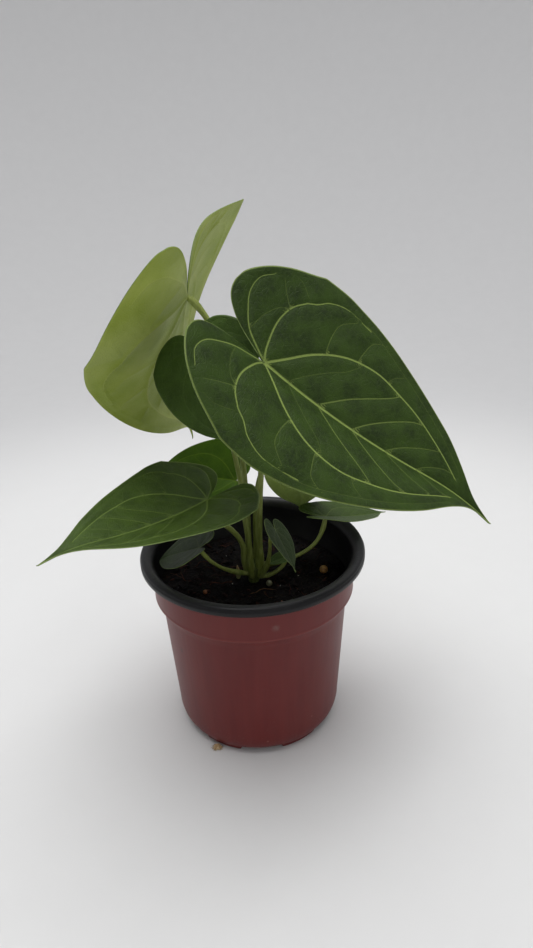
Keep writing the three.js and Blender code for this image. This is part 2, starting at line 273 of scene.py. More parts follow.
def turn(bm, line, steps):
    """Spins a line once round Z and welds the seam and the poles."""
    axis = {"cent": (0, 0, 0), "axis": (0, 0, 1)}
    bmesh.ops.spin(bm, geom=line, **axis, angle=2 * math.pi, steps=steps, use_merge=True)
    bmesh.ops.remove_doubles(bm, verts=bm.verts, dist=1e-6)
    bmesh.ops.recalc_face_normals(bm, faces=bm.faces)


# %% [markdown]
# ## The camera
# It looks a little down on the plant from close by, with a wide lens. Its matrix is built from
# three small turns, so nothing has to be aimed by eye: F looks forward, R right and U up.

# %% Camera
LENS = 26.5
NEAREST_SEEN = 10 * MM
CAMERA_PLACE = Vector((0, -286, 256)) * MM
LOOK_RIGHT, LOOK_DOWN, LOOK_TILT = (math.radians(a) for a in (1.56, 24.2, -2.04))

forward = Vector((
    math.sin(LOOK_RIGHT) * math.cos(LOOK_DOWN),
    math.cos(LOOK_RIGHT) * math.cos(LOOK_DOWN),
    -math.sin(LOOK_DOWN),
))
right = Vector((math.cos(LOOK_RIGHT), -math.sin(LOOK_RIGHT), 0))
up = right.cross(forward)
tilted_right = right * math.cos(LOOK_TILT) + up * math.sin(LOOK_TILT)
tilted_up = up * math.cos(LOOK_TILT) - right * math.sin(LOOK_TILT)
turned = Matrix((tilted_right, tilted_up, -forward)).transposed().to_4x4()

camera = into_scene("camera", bpy.data.cameras.new("camera"))
camera.data.lens = LENS
camera.data.clip_start = NEAREST_SEEN
camera.matrix_world = Matrix.Translation(CAMERA_PLACE) @ turned
bpy.context.scene.camera = camera
print("camera at", tuple(round(c, 3) for c in camera.location))

# %% [markdown]
# ## The pot
# A nursery pot is formed from two layers of plastic, red outside and black inside, and the rim
# shows the black layer rolled over. It is one turned shape, so a single line is spun round Z.
# The line runs from the middle of the underside, up the wall, over the rim and back down the
# inside. Where the wall meets the ground the ring is lifted between the feet.

# %% Pot: the line that is spun
FOOT_INSET = 0.2
FOOT_WIDTH = 4
FOOT_OUTSIDE = wall_radius(FOOT_HEIGHT) - FOOT_INSET
PAD_RADIUS = 8
DRAIN_RADIUS = 3.2
DRAIN_CIRCLE = 24
FOOT_COUNT = 6
FLOOR_TOP = FOOT_HEIGHT + WALL
RIM_DEPTH = 4
SKIRT_BOTTOM = POT_HEIGHT - RIM_DEPTH
POT_STEPS = 180

floor_rings = [PAD_RADIUS + 2, DRAIN_CIRCLE - PAD_RADIUS]
floor_rings += [DRAIN_CIRCLE + step * DRAIN_RADIUS * 0.5 for step in (-2.4, -1, 0, 1, 2.4)]

corner_shares = (0.02, 0.06, 0.12, 0.22, 0.35, 0.5, 0.7, 1)
corner_heights = [FOOT_HEIGHT + share * BASE_CORNER for share in corner_shares]
straight_heights = list(np.linspace(FOOT_HEIGHT + BASE_CORNER, BODY_TOP, 14)[1:])
ledge_heights = [BODY_TOP + 0.6, BODY_TOP + 1.2]

underside = [(0, 0), (PAD_RADIUS - 0.6, 0), (PAD_RADIUS, 0.5), (PAD_RADIUS + 0.2, FOOT_HEIGHT)]
underside += [(radius, FOOT_HEIGHT) for radius in floor_rings]
foot_inside = FOOT_OUTSIDE - FOOT_WIDTH
foot = [
    (foot_inside - 0.6, FOOT_HEIGHT), (foot_inside, 2.4), (foot_inside + 0.4, 0.5), (foot_inside + 0.9, 0),
    (FOOT_OUTSIDE - 1.1, 0), (FOOT_OUTSIDE - 0.3, 0.4), (FOOT_OUTSIDE, 1.2), (FOOT_OUTSIDE + 0.1, 2.7),
]
outside = [(wall_radius(z), z) for z in corner_heights + straight_heights + ledge_heights]
ring_bead = [
    (COLLAR_RADIUS - 0.1, COLLAR_BOTTOM - 0.4), (COLLAR_RADIUS + 0.12, COLLAR_BOTTOM - 0.1),
    (COLLAR_RADIUS + 0.12, COLLAR_BOTTOM + 0.25), (COLLAR_RADIUS, COLLAR_BOTTOM + 0.6),
]
collar = [(COLLAR_RADIUS, z) for z in np.linspace(COLLAR_BOTTOM + 1.6, POT_HEIGHT - 3, 6)]
throat = POT_HEIGHT - WALL - 0.3
rim = [
    (COLLAR_RADIUS + 0.3, throat - 0.4), (COLLAR_RADIUS + 0.9, throat),
    (RIM_RADIUS - WALL - 0.3, throat), (RIM_RADIUS - WALL, throat - 0.4),
    (RIM_RADIUS - WALL, SKIRT_BOTTOM + 0.3), (RIM_RADIUS - WALL + 0.3, SKIRT_BOTTOM),
    (RIM_RADIUS - 0.3, SKIRT_BOTTOM), (RIM_RADIUS, SKIRT_BOTTOM + 0.3),
]
# The rolled top of the rim: how far each point lies inside the rim's edge and under its top.
rolled_top = [
    (0, 2.4), (0.02, 1.55), (0.3, 1.35), (0.32, 0.95), (0.5, 0.5), (0.95, 0.12), (1.5, 0), (3.3, 0.05),
    (4.1, 0.4), (4.9, 1.1), (5.8, 2.2),
]
rim += [(RIM_RADIUS - inset, POT_HEIGHT - drop) for inset, drop in rolled_top]
rim.append((COLLAR_RADIUS - WALL, SKIRT_BOTTOM))
inside_heights = [COLLAR_BOTTOM, BODY_TOP, 55, 40, 25, 11, 9, 7, 5.6]
inside = [(wall_radius(z) - WALL, z) for z in inside_heights]
pot_floor = [(wall_radius(FLOOR_TOP) - WALL - 1, FLOOR_TOP), (foot_inside, FLOOR_TOP)]
pot_floor += [(radius, FLOOR_TOP) for radius in reversed(floor_rings)] + [(0, FLOOR_TOP)]
pot_line = underside + foot + outside + ring_bead + collar + rim + inside + pot_floor
print("the pot's line has", len(pot_line), "points")


# %% [markdown]
# ### Feet and drains
# The spun foot ring is whole, so it is pressed up between the feet: each vertex is moved by
# how far round it lies from the nearest foot. A drain is a patch of floor faces taken out
# above and below, with the two holes rounded and bridged by a short wall.

# %% Pot: spin, feet, drains
FOOT_HALF = math.radians(13.5)
NOTCH_SLOPE = math.radians(3.5)
NOTCH_DEPTH = 0.97
step_angle = 2 * math.pi / FOOT_COUNT


def raise_between_feet(bm):
    for vert in bm.verts:
        radius = vert.co.xy.length / MM
        if vert.co.z < FOOT_HEIGHT * MM and radius > PAD_RADIUS + 4:
            angle = math.atan2(vert.co.y, vert.co.x)
            away = abs((angle + step_angle / 2) % step_angle - step_angle / 2)
            keep = 1 - NOTCH_DEPTH * float(smooth((away - FOOT_HALF) / NOTCH_SLOPE))
            vert.co.z = FOOT_HEIGHT * MM - (FOOT_HEIGHT * MM - vert.co.z) * keep


def open_drain(bm, angle):
    centre = Vector((math.cos(angle), math.sin(angle))) * DRAIN_CIRCLE * MM
    reach = DRAIN_RADIUS * 1.15 * MM
    patch = [f for f in bm.faces if (f.calc_center_median().xy - centre).length < reach]
    flat = [f for f in patch if f.calc_center_median().z < FOOT_HEIGHT * 3 * MM]
    bmesh.ops.delete(bm, geom=flat, context="FACES_ONLY")
    loose = [e for e in bm.edges if e.is_wire]
    bmesh.ops.delete(bm, geom=loose, context="EDGES")
    rims = [e for e in bm.edges if e.is_boundary]
    for vert in {v for e in rims for v in e.verts}:
        vert.co.xy = centre + (vert.co.xy - centre).normalized() * DRAIN_RADIUS * MM
    bmesh.ops.bridge_loops(bm, edges=rims)


shell = bmesh.new()
turn(shell, chain(shell, pot_line), POT_STEPS)
raise_between_feet(shell)
for number in range(FOOT_COUNT):
    open_drain(shell, (number + 0.5) * step_angle)
bmesh.ops.recalc_face_normals(shell, faces=shell.faces)


def is_red(face):
    """The red layer: the wall and the underside, but not the rim or the inside."""
    centre = face.calc_center_median()
    radius, z = centre.xy.length / MM, centre.z / MM
    on_the_wall = wall_radius(z) - WALL / 2 < radius < COLLAR_RADIUS + 0.7
    return z < FLOOR_TOP - 0.3 or (on_the_wall and z < throat - 0.2)


for face in shell.faces:
    face.material_index = 0 if is_red(face) else 1
open_edges = sum(e.is_boundary for e in shell.edges)
print("pot:", len(shell.faces), "faces,", open_edges, "open edges")

# %% [markdown]
# ### Pot finishes
# The red plastic is smooth but handled: fine upright streaks from the mould, a few dull scuffs
# and specks of dried mix. The black layer is the same plastic with a softer shine. The grain
# reads Object coordinates stretched along Z, so streaks run up the wall.

# %% Pot finishes
NICK = (-0.0352, -0.0262, 0.0235)
SCUFF = (0.0082, -0.0464, 0.0775)


def red_plastic():
    finish = Finish("red_pot_plastic", {"Specular IOR Level": 0.34})
    place = finish.places()
    streaks = finish.noise(finish.stretch(place, (260, 260, 9)), 1.0, 4)
    clouds = finish.noise(place, 24, 3)
    dust = finish.noise(place, 900, 2)
    specks = finish.fade(finish.cells(place, 110), 0.1, 0.04) * finish.fade(clouds, 0.52, 0.6)
    height = finish.part(place, "Z")
    # The collar above the ring is painted a little lighter than the wall below: painted light from above.
    collar_painted_light = finish.fade(height, (COLLAR_BOTTOM - 0.4) * MM, (COLLAR_BOTTOM + 0.2) * MM)
    # A thin pale line painted along the ring bead: a painted highlight.
    line = finish.fade(abs(height - (COLLAR_BOTTOM + 0.1) * MM), 0.7 * MM, 0.2 * MM)
    low = finish.fade(height, 20 * MM, 0.0)
    nick = finish.distance(finish.stretch(place, (1, 1, 0.45)), NICK)
    scuff = finish.distance(place, SCUFF)
    tone = finish.layers(
        tint(96, 24, 22),
        (finish.fade(streaks, 0.3, 0.75), tint(104, 29, 26)),
        (collar_painted_light * 0.4, tint(108, 31, 28)),
        (line * 0.3, tint(146, 80, 74)),
        (finish.fade(clouds, 0.45, 0.75) * 0.25, tint(116, 50, 46)),
        (finish.fade(dust, 0.6, 0.8) * low * 0.5, tint(140, 105, 90)),
        (specks * 0.6, tint(168, 128, 116)),
        (finish.fade(nick, 1.2 * MM, 0.5 * MM), tint(45, 20, 20)),
        (finish.fade(scuff + dust * (2 * MM), 3.5 * MM, 1 * MM) * 0.5, tint(120, 92, 88)),
    )
    return finish.dress(tone, 0.34 + clouds * 0.14 + specks * 0.3, dust * 0.3 + streaks * 0.7, 0.12 * MM)


def black_plastic():
    finish = Finish("black_pot_plastic", {"Specular IOR Level": 0.3})
    place = finish.places()
    grain = finish.noise(place, 700, 3)
    wear = finish.noise(place, 60, 4)
    # The rim's very top is painted a lighter, cool grey: a painted highlight.
    edge = finish.fade(finish.part(place, "Z"), (POT_HEIGHT - 0.6) * MM, POT_HEIGHT * MM)
    tone = finish.layers(
        tint(5, 4, 7),
        (finish.fade(wear, 0.5, 0.75) * 0.6, tint(14, 13, 16)),
        (edge * 0.3, tint(74, 74, 78)),
        (finish.fade(grain, 0.7, 0.8) * 0.4, tint(92, 82, 74)),
    )
    return finish.dress(tone, 0.32 + wear * 0.2, grain, 0.1 * MM)


hand_over("pot_shell", shell, [red_plastic(), black_plastic()], ["nursery_pot"])

# %% [markdown]
# ## The potting mix
# The bed is dark, wet peat and bark. One spun solid fills the pot, and its top is pushed up
# and down with fractal noise. Loose crumbs of bark and strands of fibre then lie on it, each
# with few faces, because there are hundreds of them.

# %% Mix bed
MIX_STEPS = 200
MIX_RINGS = 64
MIX_BOTTOM = FLOOR_TOP + 0.3
mix_edge = wall_radius(MIX_TOP) - WALL - 0.3
random.seed(12)


def mix_height(x, y):
    """Height of the bed's top in mm. It is calm round the crown and at the pot's wall."""
    radius = math.hypot(x, y)
    calm = min(max((radius - 4) / 6, 0), 1) * min(max((mix_edge - radius) / 3, 0), 1)
    rolls = noise.noise(Vector((x * 0.07, y * 0.07, 3)))
    lumps = noise.fractal(Vector((x * 0.24, y * 0.24, 7)), 0.9, 2.1, 5)
    grit = abs(noise.noise(Vector((x * 0.9, y * 0.9, 1))))
    return MIX_TOP + (0.3 + 0.7 * calm) * (1.6 * rolls + 1.3 * lumps + 0.5 * grit)


bed = bmesh.new()
side = [(wall_radius(z) - WALL - 0.35, z) for z in (MIX_BOTTOM, 8, 11, 30, BODY_TOP, COLLAR_BOTTOM)]
rings = [(mix_edge * (1 - ring / MIX_RINGS), MIX_TOP) for ring in range(MIX_RINGS + 1)]
turn(bed, chain(bed, [(0, MIX_BOTTOM)] + side + rings), MIX_STEPS)
for vert in bed.verts:
    if vert.co.z > (MIX_TOP - 0.01) * MM:
        vert.co.z = mix_height(vert.co.x / MM, vert.co.y / MM) * MM


def wet_mix():
    finish = Finish("wet_potting_mix", {"Specular IOR Level": 0.14})
    place = finish.places()
    crumbs = finish.cells(place, 620)
    clods = finish.noise(place, 260, 5)
    fibre = finish.noise(finish.stretch(place, (900, 160, 500)), 1.0, 3)
    tone = finish.layers(
        tint(6, 4, 6),
        (finish.fade(clods, 0.35, 0.7), tint(17, 12, 12)),
        (finish.fade(fibre, 0.6, 0.75) * 0.7, tint(42, 24, 20)),
        (finish.fade(crumbs, 0.5, 0.1) * 0.3, tint(24, 18, 19)),
    )
    return finish.dress(tone, 0.55 + clods * 0.4, clods * 0.6 + fibre * 0.25 + crumbs * 0.4, 1.2 * MM)


hand_over("mix_bed", bed, [wet_mix()], ["potting_mix"])

# %% [markdown]
# ## Tubes along a line
# Stalks, fibres and roots are all thin tubes. A flat grid is rolled up: one way of the grid
# runs along the line and the other goes round it. The seam is welded, and because the radius
# falls to nothing at both ends, each end closes to a point and the tube is a solid.

# %% Rolling a grid into a tube
def frames_along(line):
    """Directions across and above a line at each point, turning as little as they can."""
    ahead = np.gradient(line, axis=0)
    ahead /= np.linalg.norm(ahead, axis=1)[:, None]
    across = np.zeros_like(ahead)
    last = np.array(Vector(ahead[0]).orthogonal().normalized())
    for index, way in enumerate(ahead):
        last = last - way * (last @ way)
        last /= np.linalg.norm(last)
        across[index] = last
    return across, np.cross(ahead, across)


def tube_mesh():
    """An empty bmesh for tubes and crumbs, with a place for each point's shade."""
    bm = bmesh.new()
    bm.verts.layers.float_vector.new("tone")
    return bm


def roll_tube(bm, line, radii, sides, section=None, shade=0.0):
    """A closed tube along a line in mm. section gives the radius's share at each turn."""
    line = np.asarray(line, float)
    across, above = frames_along(line)
    last = len(line) - 1
    layer = bm.verts.layers.float_vector["tone"]
    made = bmesh.ops.create_grid(bm, x_segments=last, y_segments=sides, size=0.5)["verts"]
    for vert in made:
        index = round((vert.co.x + 0.5) * last)
        angle = (vert.co.y + 0.5) * 2 * math.pi
        size = radii[index] * (section(index / last, angle) if section else 1)
        place = line[index] + (across[index] * math.cos(angle) + above[index] * math.sin(angle)) * size
        vert.co = Vector(place) * MM
        vert[layer] = (index / last, shade, 0)
    bmesh.ops.remove_doubles(bm, verts=made, dist=1e-7)


def bezier(points, count):
    """Points along a cubic Bezier curve."""
    start, first, second, end = (np.array(point, float) for point in points)
    t = np.linspace(0, 1, count)[:, None]
    return start * (1 - t) ** 3 + first * 3 * t * (1 - t) ** 2 + second * 3 * t * t * (1 - t) + end * t ** 3


def run_along(line):
    """How far each point of a line lies from its start, along the line."""
    return np.concatenate([[0], np.cumsum(np.linalg.norm(np.diff(line, axis=0), axis=1))])


# %% [markdown]
# ### Crumbs and fibres
# Each crumb is an icosphere of 20 faces, squashed and knocked about. Each fibre is a tube with
# three sides along a wandering line. A `tone` attribute gives each one a shade of its own, so
# one finish colours them all.

# %% Crumbs and fibres
CRUMB_COUNT = 620
CRUMB_SIZES = (0.45, 0.6, 0.8, 1.1, 1.5)
PALE_CRUMB_COUNT = 9
FIBRE_COUNT = 170
FIBRE_POINTS = 8
CROWN_CLEARANCE = 6.5


def on_the_mix(margin):
    """A random place on the bed, as x and y in mm, clear of the crown and the wall."""
    angle = random.uniform(0, 2 * math.pi)
    radius = math.sqrt(random.uniform((CROWN_CLEARANCE / mix_edge) ** 2, 1)) * (mix_edge - margin)
    return radius * math.cos(angle), radius * math.sin(angle)


def crumb(bm, x, y, size, shade):
    layer = bm.verts.layers.float_vector["tone"]
    made = bmesh.ops.create_icosphere(bm, subdivisions=1, radius=size * MM)["verts"]
    for vert in made:
        vert.co *= random.uniform(0.7, 1.2)
        vert[layer] = (0, shade, 0)
    flat = Matrix.Diagonal((random.uniform(0.8, 2), random.uniform(0.5, 1), random.uniform(0.3, 0.7), 1))
    lean = Matrix.Rotation(random.uniform(-0.6, 0.6), 4, "Y")
    spin = Matrix.Rotation(random.uniform(0, 2 * math.pi), 4, "Z")
    spot = Matrix.Translation(Vector((x, y, mix_height(x, y) + size * 0.15)) * MM)
    bmesh.ops.transform(bm, matrix=spot @ spin @ lean @ flat, verts=made)


def fibre(bm, x, y, length, radius):
    way = random.uniform(0, 2 * math.pi)
    line = []
    for _ in range(FIBRE_POINTS):
        x += math.cos(way) * length / (FIBRE_POINTS - 1)
        y += math.sin(way) * length / (FIBRE_POINTS - 1)
        way += random.uniform(-0.5, 0.5)
        shrink = min(1, (mix_edge - 1) / max(math.hypot(x, y), 1))
        x, y = x * shrink, y * shrink
        line.append((x, y, mix_height(x, y) + random.uniform(0.1, 0.9)))
    thickness = radius * np.array([0, 0.8, 1, 1, 1, 0.9, 0.7, 0])
    roll_tube(bm, line, thickness, 3, shade=random.random())


litter = tube_mesh()
for _ in range(CRUMB_COUNT):
    crumb(litter, *on_the_mix(2.5), random.choice(CRUMB_SIZES), random.random() * 0.85)
for _ in range(PALE_CRUMB_COUNT):
    crumb(litter, *on_the_mix(4), random.uniform(0.3, 0.6), 1.0)
strands = tube_mesh()
for _ in range(FIBRE_COUNT):
    fibre(strands, *on_the_mix(6), random.uniform(4, 15), random.uniform(0.1, 0.22))


def bark(name, dark, mid, warm, pale):
    """Bark and fibre share this: each piece takes its own shade from the tone attribute."""
    finish = Finish(name, {"Specular IOR Level": 0.16})
    shade = finish.part(finish.attribute("tone"), "Y")
    grain = finish.noise(finish.stretch(finish.places(), (500, 1400, 900)), 1.0, 4)
    tone = finish.ramp(shade, [(0.0, dark), (0.6, mid), (0.86, warm), (0.97, warm), (1.0, pale)])
    tone = finish.layers(tone, (finish.fade(grain, 0.35, 0.7) * 0.5, dark))
    return finish.dress(tone, 0.55 + grain * 0.35, grain, 0.3 * MM)


crumb_bark = bark("bark_crumbs", tint(6, 4, 5), tint(20, 13, 13), tint(58, 30, 22), tint(215, 212, 205))
hand_over("bark_litter", litter, [crumb_bark], rounded=False)
strand_bark = bark("coir_fibre", tint(10, 6, 6), tint(32, 18, 16), tint(84, 48, 34), tint(140, 108, 78))
hand_over("coir_strands", strands, [strand_bark])

# %% [markdown]
# ## The leaves' measurements
# Each leaf is a heart drawn on a bent sheet. `heading`, `pitch` and `roll` say how the blade is
# held, `droop`, `sweep` and `twist` how that changes on the way to the tip, and `curl` bends the
# end down. `fold`, `cup` and `back` shape the right and left halves. They repeat the CAD's
# leaves, so that blade and stalk meet where the solids do. Lengths are in mm, angles in degrees.

# %% Leaf measurements
def for_side(value, side):
    """A measurement is one number for both halves of a blade, or a right and a left one."""
    return value[0 if side > 0 else 1] if isinstance(value, tuple) else value


def leaf(at, held, change, size, fold, cup, back, stalk, curl_from=0.65, young=False):
    names = ("heading", "pitch", "roll", "droop", "sweep", "twist", "curl", "length", "half", "lobe")
    return dict(
        zip(names, held + change + size), at=at, fold=fold, cup=cup, back=back, stalk=stalk,
        curl_from=curl_from, young=young,
    )


def from_top(x, y, climb, reach, radius, arrive=None):
    """A stalk that rises from the top of the crown."""
    return dict(top=(x, y), climb=climb, reach=reach, radius=radius, arrive=arrive)


def from_side(bearing, height, rise, climb, reach, radius):
    """A stalk that leaves the crown's side, at a bearing and a height on it."""
    stalk = dict(climb=climb, reach=reach, radius=radius, arrive=None)
    return dict(stalk, bearing=bearing, height=height, rise=rise)


leaves = {
    "leaf_01": leaf(
        (8, -20, 184), (-6, -43, -29), (-19, -4, 5, 19), (116, 50, 31), (20, 20), (-30, -3), (-9, -9),
        from_top(3.4, -1.2, 54, 25, 1.3, (-0.15, -0.4, 0.9)),
    ),
    "leaf_02": leaf(
        (-23, 13, 205), (105, -38, 66), (26, -19, 33, 2), (118, (59.5, 57), (24, 43.5)),
        (8.5, 6.5), (-46, 59), (-22, -20),
        from_top(-1.6, 3, 70, 22, 1.3, (-0.7, -0.3, 0.62)), curl_from=0.35,
    ),
    "leaf_03": leaf(
        (-18, -2, 185.5), (-63, -51, -42), (-12, 6, 8, 10), (49, 24, 10.5), (2, 6), (-14, -6), (0, 0),
        from_top(-1.4, -3, 40, 18, 1.1, (-0.3, -0.6, 0.74)),
    ),
    "leaf_04": leaf(
        (-19, -10, 121), (227, -3, 2), (-12, -21, -2, 24), (79, 31, 16), (16, 16), (7, -11), (-17, -17),
        from_top(-4, 0.4, 14, 12, 1.3),
    ),
    "leaf_05": leaf(
        (-7, 24, 114), (160, 1, 39), (7, 0, 2, 8), (48, 21, 8), (16, 16), (2, 3), (-11, 3),
        from_side(100, 8, 50, 12, 10, 1),
    ),
    "leaf_06": leaf(
        (24, 14, 124), (85, -63, 6), (-9, -2, 3, 3), (39, 17, 10), (5, 5), (-7, -9), (0, 0),
        from_top(1.4, 3.2, 58, 16, 1, (0.8, 0.5, -0.3)),
    ),
    "leaf_07": leaf(
        (36, 12, 98), (13, -12, 8), (-7, 18, -6, 5), (35, 15.5, 12), (13, 13), (-6, -3), (0, 0),
        from_side(10, 7, 4, 22, 14, 1),
    ),
    "leaf_08": leaf(
        (10.5, -14, 106), (-63, -35, 29), (6, 2, 0, 6), (21, 8, 6), (8, 8), (-7, -8), (0, 0),
        from_side(-35, 6, 60, 12, 6, 0.8),
    ),
    "leaf_09": leaf(
        (-24, -14, 99), (146, -26, 15), (3, 3, 3, 9), (27, 14, 7), (11, 11), (-8, -8), (-4, -4),
        from_side(200, 5, 20, 14, 6, 0.8), young=True,
    ),
    "leaf_10": leaf(
        (15.5, -0.5, 84), (188, -14, 8), (6, 0, 0, 6), (9.5, 4.5, 2.5), (12, 12), (-6, -6), (0, 0),
        from_side(-14, 2, 10, 6, 4, 0.7), young=True,
    ),
}
print(len(leaves), "leaves, the longest", max(leaf["length"] for leaf in leaves.values()), "mm")

# %% [markdown]
# ## The sheet a blade is drawn on
# A station on the midrib has three directions: along it, across it and out of the blade's face.
# Adding up the steps along gives the midrib's curve. A point beside the midrib then goes out on
# an arc, which gives the fold and the cup of that half.

# %% Midrib and sheet
LOBE_STATIONS = 80
LENGTH_STATIONS = 320


def midrib(leaf, side):
    """Stations from the back of the lobe to the tip: x, place, across and face."""
    lobe = for_side(leaf["lobe"], side)
    behind_stalk = np.linspace(-lobe, 0, LOBE_STATIONS, endpoint=False)
    x = np.concatenate([behind_stalk, np.linspace(0, leaf["length"], LENGTH_STATIONS)])
    share = x / leaf["length"]
    bend = np.clip(share, 0, 1)
    tip_curl = smooth((share - leaf["curl_from"]) / (1 - leaf["curl_from"]))
    behind = leaf["pitch"] - for_side(leaf["back"], side) * x / lobe
    ahead = leaf["pitch"] - leaf["droop"] * bend - leaf["curl"] * tip_curl
    rise = np.radians(np.where(x < 0, behind, ahead))
    heading = np.radians(leaf["heading"] + leaf["sweep"] * bend)
    roll = np.radians(leaf["roll"] + leaf["twist"] * bend)[:, None]
    along = np.stack([np.cos(rise) * np.cos(heading), np.cos(rise) * np.sin(heading), np.sin(rise)], 1)
    level = np.stack([np.sin(heading), -np.cos(heading), 0 * heading], 1)
    upright = np.cross(level, along)
    across = level * np.cos(roll) + upright * np.sin(roll)
    face = upright * np.cos(roll) - level * np.sin(roll)
    steps = (along[1:] + along[:-1]) / 2 * np.diff(x)[:, None]
    place = np.concatenate([np.zeros((1, 3)), np.cumsum(steps, 0)])
    place += np.array(leaf["at"], float) - place[LOBE_STATIONS]
    return x, place, across, face


def face_at_stalk(leaf):
    """The way the blade's upper side looks where the stalk joins it."""
    return midrib(leaf, 1)[3][LOBE_STATIONS]


def sheet_points(leaf, x, y, side):
    """Where points of the flat heart lie on the bent sheet."""
    stations, *directions = midrib(leaf, side)
    place, across, face = (
        np.stack([np.interp(x, stations, values[:, axis]) for axis in range(3)], 1) for values in directions
    )
    fold = math.radians(for_side(leaf["fold"], side))
    cup = math.radians(for_side(leaf["cup"], side)) / for_side(leaf["half"], side)
    angle = fold + cup * y
    out = side * (np.sin(angle) - math.sin(fold)) / cup
    lift = (math.cos(fold) - np.cos(angle)) / cup
    return place + across * out[:, None] + face * lift[:, None]


# %% [markdown]
# ## Outline and veins
# Half of the heart is a smooth line through a few points, from the tip round the lobe to the
# stalk. Numbers along are shares of the length, or of the lobe when negative, and numbers
# across are shares of the half width. Veins are drawn in the same shares, so that every blade
# carries the same pattern: a midrib, three pairs that leave it at the stalk and bow towards
# the tip or round the lobes, and side veins that join them.

# %% Outline and veins
heart_outline = [
    (1, 0), (0.93, 0.035), (0.87, 0.1), (0.8, 0.24), (0.7, 0.46), (0.58, 0.65), (0.45, 0.8), (0.32, 0.91),
    (0.2, 0.975), (0.08, 1), (-0.15, 0.93), (-0.53, 0.8), (-0.83, 0.63), (-1, 0.43), (-0.94, 0.25),
    (-0.68, 0.13), (-0.3, 0.05), (0, 0),
]
young_outline = [
    (1, 0), (0.95, 0.1), (0.88, 0.24), (0.78, 0.44), (0.65, 0.66), (0.5, 0.84), (0.35, 0.95), (0.2, 1),
    (0.06, 0.98), (-0.3, 0.86), (-0.75, 0.62), (-1, 0.36), (-0.85, 0.17), (-0.45, 0.07), (0, 0),
]

# Each vein: its points, its half width in mm where it starts and ends on a blade as long as
# PATTERN_LENGTH, and how pale it is.
PATTERN_LENGTH = 116
veins = [
    ([(0, 0), (0.25, 0), (0.5, 0), (0.75, 0), (0.99, 0)], 1.0, 0.3, 1.0),
    ([(0, 0), (0.05, 0.14), (0.12, 0.33), (0.2, 0.47), (0.28, 0.545), (0.38, 0.57), (0.48, 0.52),
      (0.58, 0.44), (0.68, 0.31), (0.8, 0.11)], 0.75, 0.3, 0.95),
    ([(0, 0), (-0.1, 0.12), (-0.19, 0.35), (-0.15, 0.54), (0.01, 0.69), (0.07, 0.82), (0.15, 0.89),
      (0.27, 0.86)], 0.65, 0.2, 0.9),
    ([(0, 0), (-0.2, 0.06), (-0.42, 0.13), (-0.6, 0.24), (-0.75, 0.37), (-0.78, 0.52), (-0.66, 0.64)],
     0.6, 0.2, 0.85),
    ([(0.23, 0), (0.31, 0.19), (0.37, 0.3), (0.45, 0.43), (0.49, 0.51)], 0.45, 0.25, 0.7),
    ([(0.38, 0), (0.43, 0.13), (0.5, 0.26), (0.57, 0.36), (0.62, 0.39)], 0.42, 0.22, 0.7),
    ([(0.52, 0), (0.57, 0.1), (0.64, 0.19), (0.71, 0.25)], 0.36, 0.2, 0.55),
    ([(0.65, 0), (0.69, 0.07), (0.75, 0.13), (0.79, 0.13)], 0.32, 0.18, 0.5),
    ([(0.16, 0.41), (0.145, 0.58), (0.15, 0.72), (0.2, 0.84)], 0.36, 0.15, 0.5),
    ([(0.28, 0.55), (0.285, 0.66), (0.3, 0.78), (0.35, 0.84)], 0.36, 0.15, 0.5),
    ([(0.42, 0.56), (0.44, 0.63), (0.48, 0.69)], 0.3, 0.15, 0.4),
    ([(0.15, 0.89), (0.28, 0.87), (0.42, 0.75), (0.55, 0.61), (0.68, 0.42), (0.8, 0.18)], 0.25, 0.15, 0.35),
    ([(-0.17, 0.52), (-0.35, 0.6), (-0.5, 0.68)], 0.32, 0.15, 0.45),
    ([(-0.42, 0.13), (-0.4, 0.3), (-0.3, 0.45), (-0.17, 0.52)], 0.3, 0.2, 0.4),
    ([(0.1, 0), (0.14, 0.13), (0.2, 0.28), (0.26, 0.4), (0.3, 0.52)], 0.3, 0.18, 0.4),
    ([(-0.05, 0.72), (-0.25, 0.78), (-0.4, 0.78)], 0.25, 0.12, 0.35),
]


def through(points, per_span):
    """A smooth line through points: a Catmull-Rom spline."""
    p = np.array([points[0], *points, points[-1]], float)
    t = np.linspace(0, 1, per_span, endpoint=False)[:, None]
    pieces = []
    for a, b, c, d in zip(p, p[1:], p[2:], p[3:]):
        square, cube = 2 * a - 5 * b + 4 * c - d, 3 * b - a - 3 * c + d
        pieces.append(0.5 * (2 * b + (c - a) * t + square * t ** 2 + cube * t ** 3))
    return np.concatenate([*pieces, p[-1:]])


def to_mm(leaf, side, shares):
    """Shares of length, lobe and half width as mm on one half of the flat heart."""
    x = shares[:, 0] * np.where(shares[:, 0] < 0, for_side(leaf["lobe"], side), leaf["length"])
    return np.stack([x, shares[:, 1] * for_side(leaf["half"], side)], 1)


def evenly(line, shares):
    """Points at given shares of a line's length."""
    run = run_along(line)
    return np.stack([np.interp(shares * run[-1], run, line[:, axis]) for axis in range(2)], 1)


def scaled(leaf, power):
    """A share for details of this blade. At a low power, they shrink less than the blade does."""
    return (leaf["length"] / PATTERN_LENGTH) ** power


